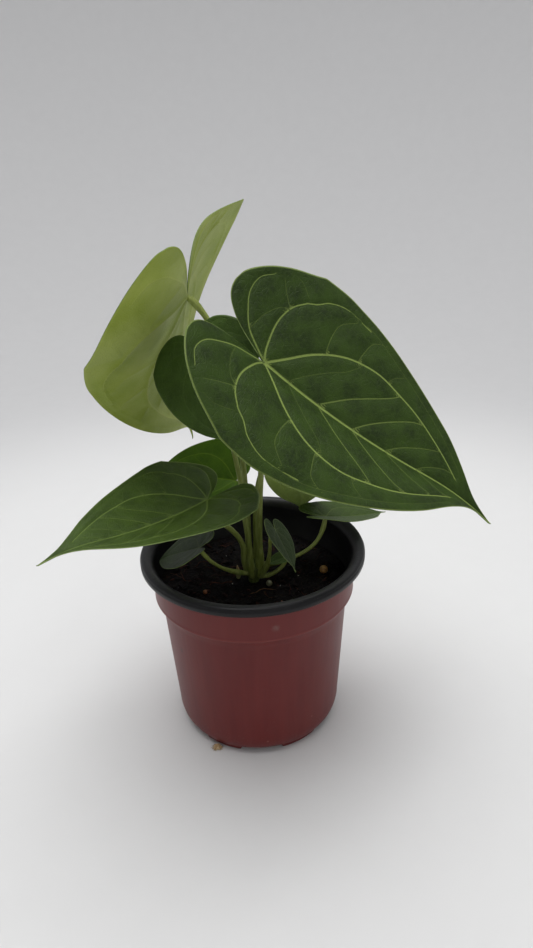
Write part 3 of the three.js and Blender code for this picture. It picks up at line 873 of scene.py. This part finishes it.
def vein_field(leaf, side, points):
    """The nearest vein's signed distance over its width, distance, paleness and half width."""
    scale = scaled(leaf, 0.6)
    best = np.full(len(points), np.inf)
    nearest = np.zeros((4, len(points)))
    for path, wide, narrow, strength in veins:
        line = to_mm(leaf, side, through(path, 6))
        count = len(line) - 1
        for index, (a, b) in enumerate(zip(line, line[1:])):
            step = b - a
            away = points - a
            share = np.clip(away @ step / (step @ step + 1e-12), 0, 1)
            near = away - share[:, None] * step
            gap = np.hypot(near[:, 0], near[:, 1])
            half = (wide + (narrow - wide) * (index + share) / count) * scale
            score = gap - half
            closer = score < best
            best = np.where(closer, score, best)
            turn_way = np.sign(step[0] * away[:, 1] - step[1] * away[:, 0])
            found = gap * turn_way / half, gap, np.full(len(gap), strength), half
            nearest = np.where(closer, found, nearest)
    return nearest


# %% [markdown]
# ## Growing a blade
# Each half is one grid. Along it the columns go round the margin, and across it the rows go
# from the midrib to the margin. The vertices are moved on to the bent sheet and the two halves
# are welded at the midrib. The vertices over a vein are then pressed down, which quilts the
# blade, and a Solidify modifier gives it thickness, most of it under the veins.

# %% Blade
THICKEST = 0.85
THINNEST_SHARE = 0.4
VEIN_SINK = 0.42
QUILT_RISE = 0.32
MARGIN_WAVE = 0.35
MARGIN_WAVE_TURNS = 21
FACE_LIFT = 0.25
COLUMNS_PER_MM = 2.3


def half_blade(bm, leaf, side, columns, rows):
    """One half of a blade as a moved grid, with the relief of each vertex stored in mm."""
    place_layer = bm.verts.layers.float_vector["leaf_place"]
    vein_layer = bm.verts.layers.float_vector["veins"]
    relief_layer = bm.verts.layers.float["relief"]
    weight_layer = bm.verts.layers.deform.verify()
    made = bmesh.ops.create_grid(bm, x_segments=columns, y_segments=rows, size=0.5)["verts"]
    grid = np.array([(v.co.x + 0.5, v.co.y + 0.5) for v in made])
    round_margin, out = grid[:, 0], grid[:, 1]
    outline = young_outline if leaf["young"] else heart_outline
    margin = evenly(to_mm(leaf, side, through(outline, 8)), round_margin)
    axis = np.stack([leaf["length"] * (1 - round_margin) ** 1.3, 0 * out], 1)
    flat = axis + (margin - axis) * out[:, None]
    fan = np.linalg.norm(margin - axis, axis=1)
    signed, reach, pale, width = vein_field(leaf, side, flat)
    size = scaled(leaf, 0.7)
    edge = (1 - out) * fan
    valley = np.exp(-(reach / (1.9 * width + 0.35 * size)) ** 2) * (0.2 + 0.8 * pale * pale)
    quilt = (1 - np.exp(-(reach / (4.5 * size)) ** 2)) * smooth(edge / (5 * size))
    wave = np.sin(round_margin * MARGIN_WAVE_TURNS + side) * smooth(1 - edge / (9 * size)) * smooth(fan / 6)
    relief = (QUILT_RISE * quilt + MARGIN_WAVE * wave - VEIN_SINK * valley) * size + FACE_LIFT
    rib = np.exp(-(reach / (1.5 * width)) ** 2) * np.clip(width / 0.9, 0, 1)
    points = sheet_points(leaf, flat[:, 0], flat[:, 1], side)
    for index, vert in enumerate(made):
        vert.co = Vector(points[index]) * MM
        vert[place_layer] = (flat[index, 0], flat[index, 1] * side, edge[index])
        vert[vein_layer] = (signed[index], reach[index], pale[index])
        vert[relief_layer] = relief[index]
        vert[weight_layer][0] = rib[index]


def grow_blade(name, leaf, finishes, slot):
    bm = bmesh.new()
    bm.verts.layers.float_vector.new("leaf_place")
    bm.verts.layers.float_vector.new("veins")
    relief_layer = bm.verts.layers.float.new("relief")
    columns = int(np.clip(leaf["length"] * COLUMNS_PER_MM, 70, 250))
    for side in (1, -1):
        half_blade(bm, leaf, side, columns, columns // 4)
    bmesh.ops.remove_doubles(bm, verts=bm.verts, dist=2e-6)
    bmesh.ops.recalc_face_normals(bm, faces=bm.faces)
    bm.normal_update()
    looks = sum((f.normal * f.calc_area() for f in bm.faces), Vector())
    if looks.dot(Vector(face_at_stalk(leaf))) < 0:
        bmesh.ops.reverse_faces(bm, faces=bm.faces)
        bm.normal_update()
    for vert in bm.verts:
        vert.co += vert.normal * vert[relief_layer] * MM
    blade = hand_over(f"{name}_lamina", bm, finishes, [f"{name}_blade"])
    blade.vertex_groups.new(name="ribs")
    body = blade.modifiers.new("thickness", "SOLIDIFY")
    body.thickness = THICKEST * MM * scaled(leaf, 0.25)
    body.offset = -1
    body.vertex_group = "ribs"
    body.thickness_vertex_group = THINNEST_SHARE
    body.use_quality_normals = True
    body.material_offset = 1
    body.material_offset_rim = 2


# %% [markdown]
# ## Leaf finishes
# The upper side is deep green and velvety, with pale veins. The pattern reads two attributes
# that were stored while the blade was grown: where a point lies on the flat heart, and how far
# it is from the nearest vein. The finest net of veins is a Voronoi pattern in those same
# coordinates, so it bends with the blade. The underside is paler and duller, and the cut edge
# shows as a thin light line.

# %% Leaf finishes
def vein_lines(finish):
    """The drawn veins, a soft halo round them, and the finest net between them."""
    place = finish.attribute("leaf_place")
    field = finish.attribute("veins")
    across = finish.part(field, "X")
    away = finish.part(field, "Y")
    pale = finish.part(field, "Z")
    line = finish.fade(abs(across), 1.05, 0.3) * finish.fade(away, pale * 0.9 + 0.55, pale * 0.6 + 0.25)
    line = line * pale * pale
    halo = finish.fade(away, 3.5, 0.2)
    bend = finish.node(
        "ShaderNodeVectorMath", {"operation": "ADD"},
        {0: place, 1: finish.node("ShaderNodeTexNoise", {}, {"Vector": place, "Scale": 0.35}, "Color")},
    )
    net = finish.cells(finish.stretch(bend, (0.34, 0.34, 0)), 1.0, "DISTANCE_TO_EDGE")
    fine = finish.cells(finish.stretch(bend, (1.1, 1.1, 0)), 1.0, "DISTANCE_TO_EDGE")
    return place, line, halo, finish.fade(net, 0.09, 0.0), finish.fade(fine, 0.14, 0.0)


def upper_side(name, deep, light, vein, vein_strength, gloss=0.44):
    finish = Finish(name, {
        "Specular IOR Level": 0.17, "Sheen Weight": 0.02, "Sheen Roughness": 0.45,
        "Sheen Tint": tint(190, 215, 190),
    })
    place, line, halo, net, fine = vein_lines(finish)
    patches = finish.noise(finish.stretch(place, (0.09, 0.09, 0)), 1.0, 4)
    speckle = finish.noise(finish.stretch(place, (1.6, 1.6, 0)), 1.0, 3)
    mottle = finish.noise(finish.stretch(place, (0.55, 0.55, 0)), 1.0, 5)
    edge = finish.fade(finish.part(place, "Z"), 0.8, 0.2)
    lighter = (
        finish.fade(patches, 0.3, 0.7), finish.fade(mottle, 0.42, 0.68) * 0.5, halo * 0.3,
        finish.fade(speckle, 0.5, 0.75) * 0.5, fine * 0.12 + net * 0.2,
    )
    tone = finish.layers(deep, *((mask, light) for mask in lighter))
    tone = finish.layers(tone, (line * vein_strength, vein), (edge * 0.6, vein))
    relief = fine * -0.35 - net * 0.5 + speckle * 0.3
    return finish.dress(tone, gloss + speckle * 0.12 + line * 0.1, relief, 0.12 * MM)


def under_side(name, pale, deep, vein):
    finish = Finish(name, {"Specular IOR Level": 0.3, "Sheen Weight": 0.1})
    place, line, _, net, fine = vein_lines(finish)
    patches = finish.noise(finish.stretch(place, (0.05, 0.05, 0)), 1.0, 3)
    speckle = finish.noise(finish.stretch(place, (1.4, 1.4, 0)), 1.0, 3)
    tone = finish.layers(
        pale,
        (finish.fade(patches, 0.32, 0.68), deep),
        (fine * 0.08 + net * 0.12, deep),
        (speckle * 0.12, pale),
        (line * 0.5, vein),
    )
    return finish.dress(tone, 0.55 + speckle * 0.12, net * 0.4 + fine * 0.3 + speckle * 0.2, 0.1 * MM)


def cut_edge(name, pale, deep):
    finish = Finish(name, {"Specular IOR Level": 0.35})
    mottle = finish.noise(finish.places(), 600, 3)
    tone = finish.layers(pale, (finish.fade(mottle, 0.4, 0.7), deep))
    return finish.dress(tone, 0.5 + mottle * 0.15, mottle, 0.05 * MM)


pale_edge = cut_edge("margin", tint(128, 146, 84), tint(104, 124, 66))
pale_under = under_side("pale_underside", tint(165, 179, 84), tint(140, 158, 48), tint(185, 194, 106))
green_under = under_side("green_underside", tint(100, 122, 66), tint(84, 108, 48), tint(130, 148, 88))
# The undersides of leaves 5 and 6 are painted far paler than the others: painted light, making up for the
# shade on them.
painted_light_under = under_side("painted_light_underside", tint(186, 212, 118), tint(168, 194, 94), tint(196, 212, 130))
velvet = upper_side("velvet_leaf", tint(27, 41, 8), tint(48, 68, 17), tint(134, 152, 78), 0.88)
dark_velvet = upper_side("dark_leaf", tint(44, 62, 18), tint(60, 82, 30), tint(82, 104, 50), 0.4)
fresh = upper_side("fresh_leaf", tint(42, 60, 14), tint(62, 83, 25), tint(112, 132, 64), 0.75, 0.4)
# Leaf 5's upper side is painted a brighter, yellower green: painted light shining through the blade.
painted_backlit = upper_side("painted_backlit_leaf", tint(52, 80, 9), tint(68, 98, 14), tint(104, 130, 40), 0.6)
small = upper_side("small_leaf", tint(46, 64, 20), tint(62, 82, 31), tint(112, 130, 76), 0.6, 0.4)
dusky = upper_side("dusky_leaf", tint(34, 46, 22), tint(50, 64, 36), tint(96, 108, 76), 0.6, 0.42)

upper_sides = (velvet, velvet, dark_velvet, fresh, painted_backlit, fresh, small, dusky, dusky, dark_velvet)
under_sides = {"leaf_02": pale_under, "leaf_05": painted_light_under, "leaf_06": painted_light_under}
pale_blades = ("leaf_02", "leaf_06")
for (name, measures), upper in zip(leaves.items(), upper_sides):
    finishes = [upper, under_sides.get(name, green_under), pale_edge]
    grow_blade(name, measures, finishes, "pale_blade" if name in pale_blades else "blade")

# %% [markdown]
# ## Stalks
# A petiole is a slim stalk, sheathed at the crown and slightly swollen where it meets the
# blade. Each follows the same Bezier line as its CAD solid, and the ones on top of the crown
# start lower, down among the sheaths. Shallow ridges run its whole length.

# %% Stalks
STALK_SIDES = 20
STALK_STEPS = 90
STALK_GAP = 0.3
CROWN_HEIGHT = 14
CROWN_FOOT_RADIUS = 3.6
CROWN_TOP_RADIUS = 5.4
crown_base = MIX_TOP + 0.3


def crown_radius(share):
    return CROWN_FOOT_RADIUS + (CROWN_TOP_RADIUS - CROWN_FOOT_RADIUS) * float(smooth(share / 0.8))


def stalk_line(leaf):
    stalk = leaf["stalk"]
    if "top" in stalk:
        start = np.array([*stalk["top"], crown_base + CROWN_HEIGHT + STALK_GAP])
        first = np.array([0, 0, 1.0])
    else:
        bearing, rise = math.radians(stalk["bearing"]), math.radians(stalk["rise"])
        way = np.array([math.cos(bearing), math.sin(bearing), 0])
        clear = STALK_GAP + stalk["radius"] * math.sin(rise) + 0.2
        away = crown_radius(stalk["height"] / CROWN_HEIGHT) + clear
        start = way * away + np.array([0, 0, crown_base + stalk["height"]])
        first = way * math.cos(rise) + np.array([0, 0, math.sin(rise)])
    face = face_at_stalk(leaf)
    last = np.array(stalk["arrive"] or face, float)
    last /= np.linalg.norm(last)
    end = np.array(leaf["at"], float) - face * 0.35
    line = bezier([start, start + first * stalk["climb"], end - last * stalk["reach"], end], STALK_STEPS)
    if "top" in stalk:
        root = np.array([stalk["top"][0] * 0.6, stalk["top"][1] * 0.6, crown_base + 1.5])
        sunk = bezier([root, root + (0, 0, 5), start - (0, 0, 4), start], 18)[:-1]
    else:
        root = start - first * (stalk["radius"] + 2.5)
        sunk = np.linspace(root, start, 6)[:-1]
    return np.concatenate([sunk, line])


def ridges(along, angle):
    """A section with a groove on one side and low ridges all round."""
    groove = 0.16 * math.exp(-((angle - math.pi) / 0.5) ** 2)
    return 1 + 0.045 * math.cos(angle * 6) - groove


def grow_stalk(name, leaf, finish):
    line = stalk_line(leaf)
    run = run_along(line)
    left = run[-1] - run
    radius = leaf["stalk"]["radius"]
    sheath = 0.7 * np.exp(-((run - 6) / 7) ** 2)
    knee = 0.28 * np.exp(-((left - 5) / 3.4) ** 2)
    radii = radius * (1 + sheath + knee)
    radii *= np.sqrt(np.clip(run / radius, 0, 1)) * np.sqrt(np.clip(left / (radius * 0.8), 0, 1))
    bm = tube_mesh()
    roll_tube(bm, line, radii, STALK_SIDES, ridges, shade=random.random())
    bmesh.ops.recalc_face_normals(bm, faces=bm.faces)
    hand_over(f"{name}_petiole", bm, [finish], [f"{name}_stalk"])


def green_stalk(name, low, high, fleck):
    finish = Finish(name, {"Specular IOR Level": 0.4})
    along = finish.part(finish.attribute("tone"), "X")
    grain = finish.noise(finish.stretch(finish.places(), (1800, 1800, 160)), 1.0, 4)
    blotch = finish.noise(finish.places(), 140, 3)
    tone = finish.layers(
        low,
        (finish.fade(along, 0.0, 0.9), high),
        (finish.fade(grain, 0.4, 0.75) * 0.5, fleck),
        (finish.fade(blotch, 0.55, 0.8) * 0.35, low),
    )
    return finish.dress(tone, 0.42 + grain * 0.15, grain * 0.7 + blotch * 0.3, 0.15 * MM)


petiole_green = green_stalk("petiole_green", tint(106, 118, 48), tint(152, 164, 82), tint(172, 182, 112))
for name, measures in leaves.items():
    grow_stalk(name, measures, petiole_green)

# %% [markdown]
# ## The crown
# The crown is where the sheathed stalk bases stand pressed together. It is spun from a short
# line that widens upward, and its vertices are then pulled in between the stalks, so that it
# reads as a bundle and not as a post.

# %% Crown
CROWN_ROOT = 1.2
crown_line = [(0, -CROWN_ROOT), (crown_radius(0) - 0.4, -CROWN_ROOT)]
crown_line += [(crown_radius(share) * 0.8, CROWN_HEIGHT * share) for share in np.linspace(0, 0.5, 12)]
crown_line += [(2.6, 8), (1.8, 9.5), (0.9, 11), (0, 12)]
crown = tube_mesh()
turn(crown, chain(crown, [(radius, crown_base + z) for radius, z in crown_line]), 72)
for vert in crown.verts:
    share = (vert.co.z / MM - crown_base) / CROWN_HEIGHT
    angle = math.atan2(vert.co.y, vert.co.x)
    bundle = 0.16 * abs(math.sin(angle * 2.5 + 0.6 + share)) ** 0.7 + 0.05 * math.sin(angle * 9 + share * 3)
    vert.co.xy *= 0.86 + bundle * (0.4 + 0.6 * max(share, 0))
    vert[crown.verts.layers.float_vector["tone"]] = (max(share, 0) * 0.5, 0.5, 0)
crown_green = green_stalk("crown_green", tint(66, 78, 28), tint(84, 98, 40), tint(110, 118, 66))
hand_over("crown_sheaths", crown, [crown_green], ["crown"])

# %% [markdown]
# ## Shoot, feed prills and root tuft
# A pointed shoot leans by the crown. Round grains of slow-release feed lie on the mix, glossy
# where the coat is whole. A tuft of root fibre has found its way out under the pot's edge.

# %% Shoot
shoot_low, shoot_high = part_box("new_shoot")
shoot_foot = (shoot_low + shoot_high) / 2 / MM
shoot_steps = np.linspace(0, 1, 24)
shoot_size = (shoot_high - shoot_low) / MM
shoot_line = [
    (shoot_foot.x - 0.3 * share ** 2, shoot_foot.y, shoot_low.z / MM - 1 + (shoot_size.z + 1) * share)
    for share in shoot_steps
]
shoot_radii = shoot_size.x / 2 * np.sin(np.pi * shoot_steps ** 0.62) ** 0.8


def wrapped_sheath(along, angle):
    """A section that is a little wider one way, and turns as it rises."""
    return 1 + 0.08 * math.cos(angle * 2 + along * 3)


shoot = tube_mesh()
roll_tube(shoot, shoot_line, shoot_radii, 18, wrapped_sheath)
bmesh.ops.recalc_face_normals(shoot, faces=shoot.faces)
shoot_green = green_stalk("shoot_green", tint(150, 160, 104), tint(158, 128, 92), tint(176, 176, 128))
hand_over("shoot_bud", shoot, [shoot_green], ["new_shoot"])

# %% Prills
def prill_coat(name, body, blot):
    finish = Finish(name, {"Specular IOR Level": 0.5, "Coat Weight": 0.4, "Coat Roughness": 0.15})
    mottle = finish.noise(finish.places(), 900, 3)
    tone = finish.layers(body, (finish.fade(mottle, 0.4, 0.65), blot))
    return finish.dress(tone, 0.3 + mottle * 0.3, mottle, 0.2 * MM)


tan_coat = prill_coat("tan_feed", tint(186, 140, 82), tint(150, 104, 58))
grey_coat = prill_coat("grey_green_feed", tint(116, 118, 92), tint(88, 84, 62))
brown_coat = prill_coat("brown_feed", tint(140, 84, 44), tint(98, 56, 30))
for number, coat in enumerate((tan_coat, grey_coat, brown_coat, brown_coat), 1):
    node = f"fertiliser_prill_{number}"
    low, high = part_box(node)
    middle = (low + high) / 2
    radius = (high.x - low.x) / 2
    grain = bmesh.new()
    bmesh.ops.create_icosphere(grain, subdivisions=4, radius=radius)
    for vert in grain.verts:
        dent = noise.fractal(vert.co / radius * 1.1 + Vector((number, 0, 0)), 1, 2, 3)
        vert.co = vert.co * (0.96 + 0.05 * dent) + middle
    hand_over(f"feed_prill_{number}", grain, [coat], [node])

# %% Root tuft
tuft_low, tuft_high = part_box("root_tuft")
tuft_middle = (tuft_low + tuft_high) / 2 / MM
tuft_size = (tuft_high - tuft_low) / 2 / MM
WISP_COUNT = 90
WISP_TAPER = np.array([0, 0.8, 1, 1, 1, 1, 0.9, 0.7, 0])
tuft = tube_mesh()
for _ in range(WISP_COUNT):
    angle = random.uniform(0, 2 * math.pi)
    lift = random.uniform(0.05, 0.85)
    reach = Vector((math.cos(angle) * tuft_size.x, math.sin(angle) * tuft_size.y, 0))
    reach *= random.uniform(0.3, 0.95)
    start = Vector((tuft_middle.x, tuft_middle.y, 0.5)) - reach
    knot = Vector((tuft_middle.x, tuft_middle.y, tuft_size.z * 2 * lift))
    knot += Vector((random.uniform(-1, 1), random.uniform(-0.5, 0.5), 0))
    end = Vector((tuft_middle.x, tuft_middle.y, 0.4)) + reach.lerp(reach.yxz * 0.6, random.random())
    line = bezier([start, knot, knot + (knot - start) * 0.1, end], len(WISP_TAPER))
    line[:, 2] = np.maximum(line[:, 2], 0.25)
    roll_tube(tuft, line, random.uniform(0.14, 0.3) * WISP_TAPER, 5, shade=random.random())
root_tones = (tint(160, 128, 92), tint(200, 172, 134), tint(216, 194, 158), tint(230, 214, 188))
root_fibre = bark("root_fibre", *root_tones)
hand_over("root_wisp", tuft, [root_fibre], ["root_tuft"])

# %% [markdown]
# ## Floor and light
# The plant stands on a pale sweep: a flat floor that curves up all round into a wall, so no
# edge or horizon shows from any side. It is spun from a line too. A large soft light hangs
# overhead, and a weaker one fills from the camera's side.

# %% Sweep
SWEEP_FLAT = 600
SWEEP_CURVE = 700
SWEEP_TOP = 2600
sweep_line = [(0, 0), (120, 0), (300, 0), (SWEEP_FLAT, 0)]
for share in np.linspace(0, 1, 25)[1:]:
    angle = share * math.pi / 2
    sweep_line.append((SWEEP_FLAT + SWEEP_CURVE * math.sin(angle), SWEEP_CURVE * (1 - math.cos(angle))))
sweep_line.append((SWEEP_FLAT + SWEEP_CURVE, SWEEP_TOP))
sweep = bmesh.new()
turn(sweep, chain(sweep, sweep_line), 96)
bmesh.ops.reverse_faces(sweep, faces=sweep.faces)
paper = Finish("pale_paper", {"Specular IOR Level": 0.2})
paper_place = paper.places()
paper_grain = paper.noise(paper_place, 60, 4)
# The floor is painted lighter round the pot and greyer further out: a painted pool of light.
painted_light_falloff = paper.fade(paper.distance(paper_place, (0, 0, 0)), 0.26, 0.56)
paper_tone = paper.layers(tint(220, 220, 220), (painted_light_falloff, tint(198, 198, 199)))
paper_tone = paper.layers(paper_tone, (paper_grain * 0.3, tint(212, 212, 212)))
paper.put(paper.shader.inputs["Base Color"], paper_tone)
paper.put(paper.shader.inputs["Roughness"], 0.75 + paper_grain * 0.1)
floor = mesh_object("sweep", sweep, [paper])


# %% Lights
def soft_light(name, place, aim, size, power):
    data = bpy.data.lights.new(name, "AREA")
    data.shape = "DISK"
    data.size = size
    data.energy = power
    lamp = into_scene(name, data)
    lamp.location = place
    lamp.rotation_euler = (aim - lamp.location).to_track_quat("-Z", "Y").to_euler()


middle = (cad_low + cad_high) / 2
soft_light("overhead", (-0.02, 0.12, 1.15), middle, size=1.3, power=15.5)
soft_light("front_fill", (0.35, -0.9, 0.9), middle, size=0.8, power=1.3)
world = bpy.data.worlds.new("room")
world.use_nodes = True
room_light = world.node_tree.nodes["Background"].inputs
room_light["Color"].default_value = (1, 1, 1, 1)
room_light["Strength"].default_value = 0.17
bpy.context.scene.world = world
bpy.context.scene.view_settings.view_transform = "Standard"
